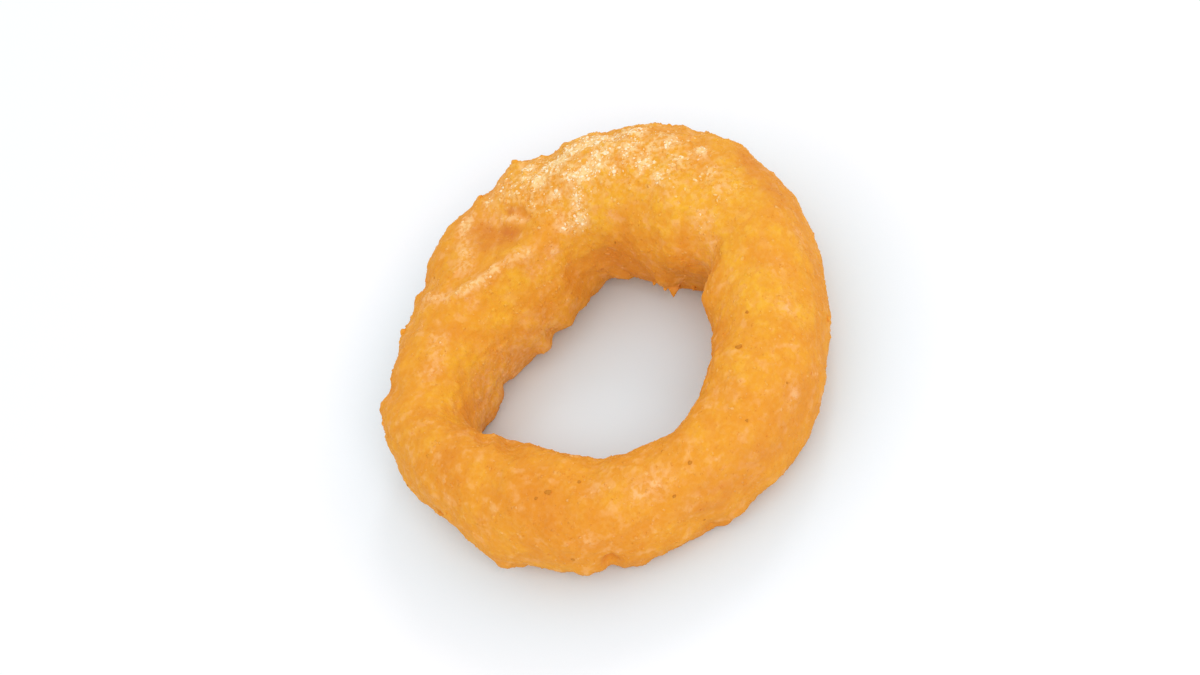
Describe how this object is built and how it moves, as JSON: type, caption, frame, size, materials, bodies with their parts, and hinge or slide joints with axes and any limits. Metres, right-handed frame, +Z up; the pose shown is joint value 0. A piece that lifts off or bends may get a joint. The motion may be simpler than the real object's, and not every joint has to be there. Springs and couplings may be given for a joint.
{
  "type": "onion ring",
  "caption": "Battered and fried onion ring, an uneven fat loop with a crumbed crust, lying flat on its underside.",
  "frame": {"origin": "under the middle of the ring's bounding box, on the surface that the ring lies on", "axes": "+Z up out of the surface, +X across the ring's widest measure, +Y across it towards the thick upper shoulder"},
  "size_m": [0.0822, 0.0796, 0.0258],
  "materials": {
    "crust": "golden fried batter with fine crumbs and a little oil"
  },
  "bodies": {
    "root": {"onion_ring": "crust"}
  },
  "joints": []
}
